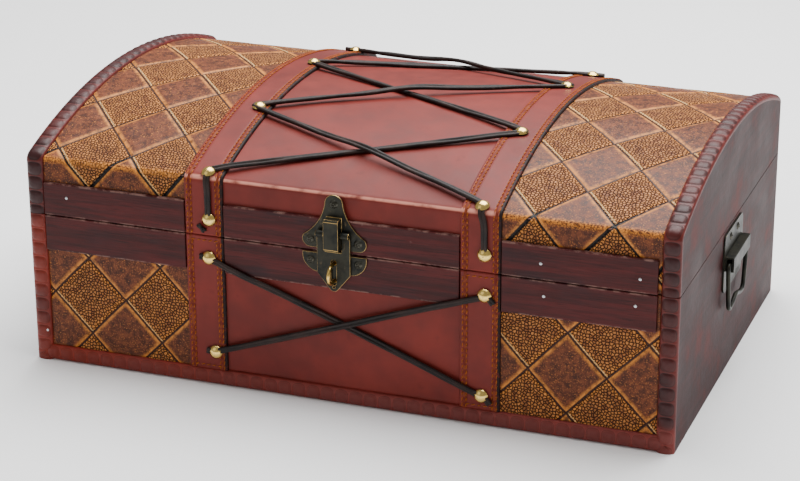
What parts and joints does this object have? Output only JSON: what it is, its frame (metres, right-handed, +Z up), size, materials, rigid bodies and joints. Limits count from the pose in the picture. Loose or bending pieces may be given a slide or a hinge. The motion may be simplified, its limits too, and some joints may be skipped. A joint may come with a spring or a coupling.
{
  "type": "treasure chest",
  "caption": "Low domed keepsake chest with a hinged lid, diamond-embossed leather, laced straps, a hasp and staple, and folding end handles.",
  "frame": {"origin": "centre of the flat underside that the chest stands on", "axes": "+X right along the front, +Y to the back, +Z up; the hasp faces -Y"},
  "size_m": [0.4594, 0.3077, 0.178],
  "materials": {
    "end_wood": "satin mahogany stain, worn and blotched",
    "plain_wood": "bare board, hidden under leather and lining",
    "lining_cloth": "dark brushed lining cloth",
    "diamond_leather": "embossed faux leather, pebbled and smooth diamonds, rubbed golden edges",
    "panel_leather": "smooth brick-red faux leather, satin",
    "band_wood": "dark mahogany stain with grain and scuffs",
    "trim_wood": "glossy carved bead moulding",
    "lace_leather": "dark brown folded lace, semi-matt",
    "nail_brass": "polished pale brass",
    "staple_brass": "rubbed bright brass",
    "screw_bronze": "dark antique bronze",
    "fitting_bronze": "dark antique bronze with rubbed brass edges"
  },
  "bodies": {
    "base": {"base_back_board": "plain_wood", "base_band_centre": "band_wood", "base_band_left": "band_wood", "base_band_right": "band_wood", "base_bands_back": "band_wood", "base_floor": "plain_wood", "base_front_board": "plain_wood", "base_lace_a": "lace_leather", "base_lace_b": "lace_leather", "base_leather_back": "diamond_leather", "base_leather_left": "diamond_leather", "base_leather_right": "diamond_leather", "base_left_end": "end_wood", "base_lining": "lining_cloth", "base_nails": "nail_brass", "base_panel": "panel_leather", "base_right_end": "end_wood", "base_screws": "screw_bronze", "base_strap_left": "panel_leather", "base_strap_right": "panel_leather", "base_straps_back": "panel_leather", "base_trim_foot": "trim_wood", "base_trim_left": "trim_wood", "base_trim_right": "trim_wood", "base_trims_back": "trim_wood", "catch_plate": "fitting_bronze", "handle_plate_left": "fitting_bronze", "handle_plate_right": "fitting_bronze", "handle_screws": "screw_bronze", "hinge_lower_leaves": "fitting_bronze", "hinge_pins": "fitting_bronze", "staple": "staple_brass"},
    "lid": {"hasp_pin": "fitting_bronze", "hasp_plate": "fitting_bronze", "hinge_upper_leaves": "fitting_bronze", "lid_back_rail": "plain_wood", "lid_band_centre": "band_wood", "lid_band_left": "band_wood", "lid_band_right": "band_wood", "lid_bands_back": "band_wood", "lid_front_rail": "plain_wood", "lid_lace_a": "lace_leather", "lid_lace_b": "lace_leather", "lid_leather_left": "diamond_leather", "lid_leather_right": "diamond_leather", "lid_left_end": "end_wood", "lid_lining": "lining_cloth", "lid_nails": "nail_brass", "lid_panel": "panel_leather", "lid_right_end": "end_wood", "lid_screws": "screw_bronze", "lid_strap_left": "panel_leather", "lid_strap_right": "panel_leather", "lid_top_board": "plain_wood", "lid_trim_left": "trim_wood", "lid_trim_right": "trim_wood"},
    "flap": {"hasp_flap": "fitting_bronze"},
    "bail_right": {"bail_right": "fitting_bronze"},
    "bail_left": {"bail_left": "fitting_bronze"}
  },
  "joints": [
    {"name": "lid_hinge", "type": "hinge", "parent": "base", "child": "lid", "pos_m": [0, 0.146, 0.1058], "axis": [-1, 0, 0], "range_deg": [0, 100]},
    {"name": "hasp_flap_hinge", "type": "hinge", "parent": "lid", "child": "flap", "pos_m": [-0.003, -0.1473, 0.1195], "axis": [-1, 0, 0], "range_deg": [0, 165]},
    {"name": "bail_right_hinge", "type": "hinge", "parent": "base", "child": "bail_right", "pos_m": [0.2267, 0, 0.083], "axis": [0, -1, 0], "range_deg": [0, 95]},
    {"name": "bail_left_hinge", "type": "hinge", "parent": "base", "child": "bail_left", "pos_m": [-0.2267, 0, 0.083], "axis": [0, 1, 0], "range_deg": [0, 95]}
  ]
}
